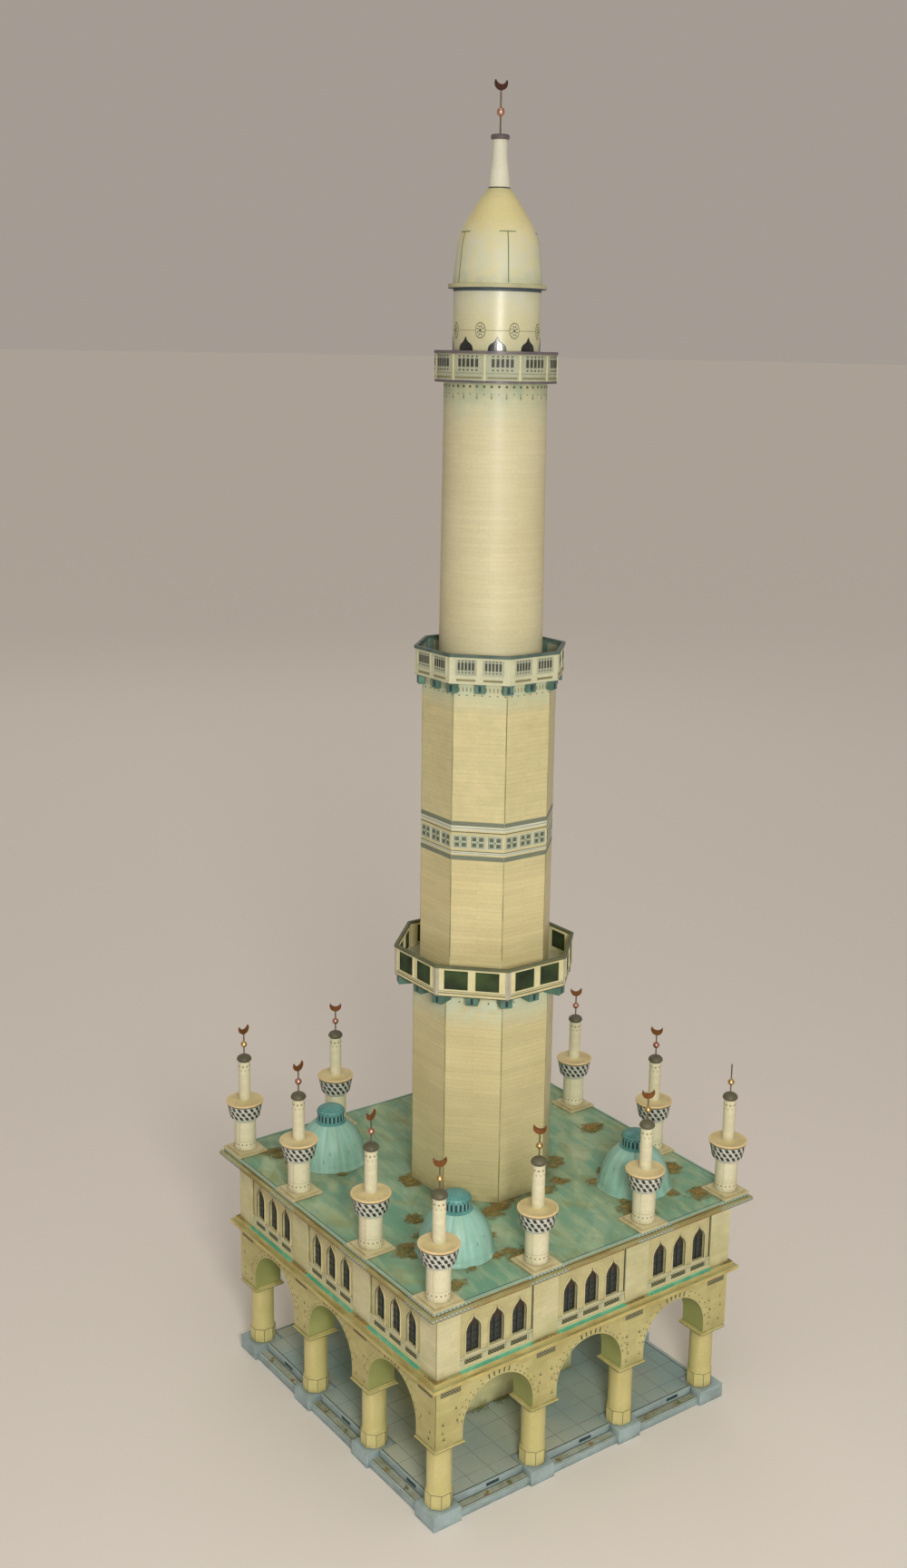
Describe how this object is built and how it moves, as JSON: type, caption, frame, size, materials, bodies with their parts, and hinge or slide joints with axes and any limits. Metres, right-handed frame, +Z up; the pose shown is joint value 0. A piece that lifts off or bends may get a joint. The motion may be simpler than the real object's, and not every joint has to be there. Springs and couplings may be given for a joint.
{
  "type": "card scale model of a minaret",
  "caption": "Card scale model of a tall minaret: eight-sided then round shaft with three galleries and a pointed dome, on a square arcaded hall with corner turrets.",
  "frame": {"origin": "middle of the base, on the surface it stands on", "axes": "+Z up along the tower, -Y out of the front arcade, +X out of the right arcade"},
  "size_m": [0.12, 0.12, 0.3921],
  "materials": {
    "cream_card": "satin varnish",
    "yellow_card": "satin varnish",
    "blue_card": "matt",
    "aqua_card": "satin varnish",
    "dome_card": "satin varnish",
    "bronze_wire": "dull"
  },
  "bodies": {
    "root": {"arcade_back": "cream_card", "arcade_front": "cream_card", "arcade_left": "cream_card", "arcade_right": "cream_card", "column_1": "yellow_card", "column_10": "yellow_card", "column_11": "yellow_card", "column_12": "yellow_card", "column_2": "yellow_card", "column_3": "yellow_card", "column_4": "yellow_card", "column_5": "yellow_card", "column_6": "yellow_card", "column_7": "yellow_card", "column_8": "yellow_card", "column_9": "yellow_card", "core": "cream_card", "dome": "dome_card", "finial": "bronze_wire", "gallery_lower": "cream_card", "gallery_middle": "cream_card", "gallery_upper": "cream_card", "hall_floor": "blue_card", "lantern": "cream_card", "ledge": "cream_card", "lower_shaft": "cream_card", "middle_shaft": "cream_card", "plinth": "blue_card", "roof": "aqua_card", "roof_dome_1": "aqua_card", "roof_dome_2": "aqua_card", "roof_dome_3": "aqua_card", "roof_dome_4": "aqua_card", "spire": "cream_card", "turret_1": "cream_card", "turret_10": "cream_card", "turret_11": "cream_card", "turret_12": "cream_card", "turret_2": "cream_card", "turret_3": "cream_card", "turret_4": "cream_card", "turret_5": "cream_card", "turret_6": "cream_card", "turret_7": "cream_card", "turret_8": "cream_card", "turret_9": "cream_card", "upper_shaft": "cream_card", "wall_back": "cream_card", "wall_front": "cream_card", "wall_left": "cream_card", "wall_right": "cream_card"}
  },
  "joints": []
}
